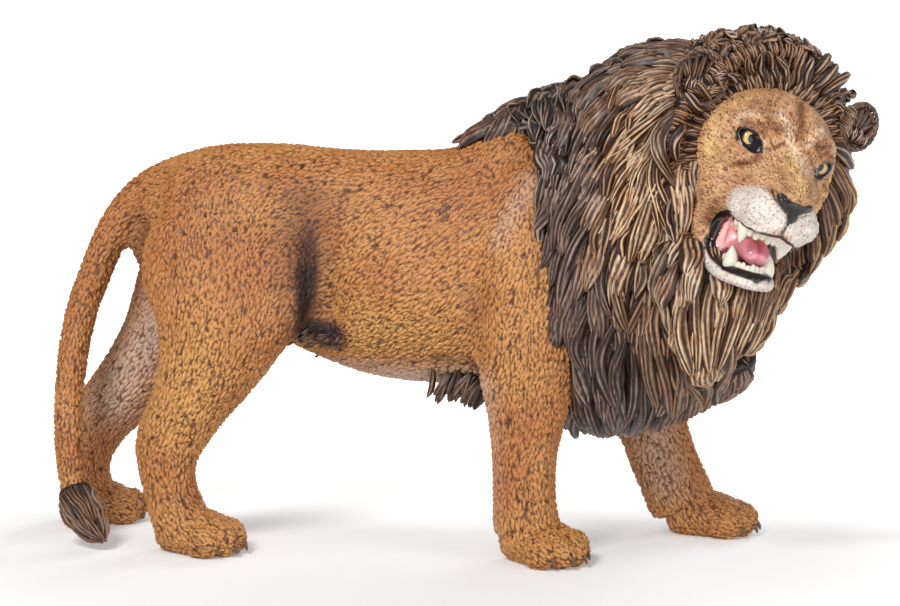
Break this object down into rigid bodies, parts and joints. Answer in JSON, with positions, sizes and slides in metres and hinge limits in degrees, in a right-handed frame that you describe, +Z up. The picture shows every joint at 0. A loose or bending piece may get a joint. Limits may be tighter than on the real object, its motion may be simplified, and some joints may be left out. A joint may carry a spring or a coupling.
{
  "type": "toy wild animal figure",
  "caption": "Hand-painted moulded figure of a roaring male lion standing on all fours with its head turned to its right, mane, open mouth and hanging tail; stands by itself as a toy.",
  "frame": {"origin": "centre of the figure's bounding box in plan, on the floor under its paws", "axes": "+X towards the front of the body, +Y to the animal's left, +Z up"},
  "size_m": [0.1382, 0.0556, 0.0861],
  "materials": {
    "coat": "golden tan paint with brown washed into moulded fur strokes, satin",
    "face_coat": "golden tan paint fading to off-white on the muzzle and chin, fine moulded fur",
    "dark_hair": "dark grey-brown paint with lighter dry-brushed ridges on moulded hair",
    "light_hair": "tan and taupe dry-brushed paint over brown wash on moulded hair",
    "ear_brown": "dark brown paint on moulded short fur",
    "ivory": "glossy ivory paint",
    "mouth_pink": "wet-look pink gloss paint",
    "tongue_pink": "wet-look pink gloss paint",
    "eye_amber": "glossy amber iris and black pupil"
  },
  "bodies": {
    "root": {"body_right": "coat", "body_left": "coat", "tail": "coat", "tail_tuft": "dark_hair", "mane_collar": "dark_hair", "mane_ruff": "light_hair", "head": "face_coat", "lower_jaw": "face_coat", "mouth_cup": "mouth_pink", "tongue": "tongue_pink", "upper_teeth": "ivory", "lower_teeth": "ivory", "eye_right": "eye_amber", "eye_left": "eye_amber", "ear_right": "ear_brown", "ear_left": "ear_brown"}
  },
  "joints": []
}
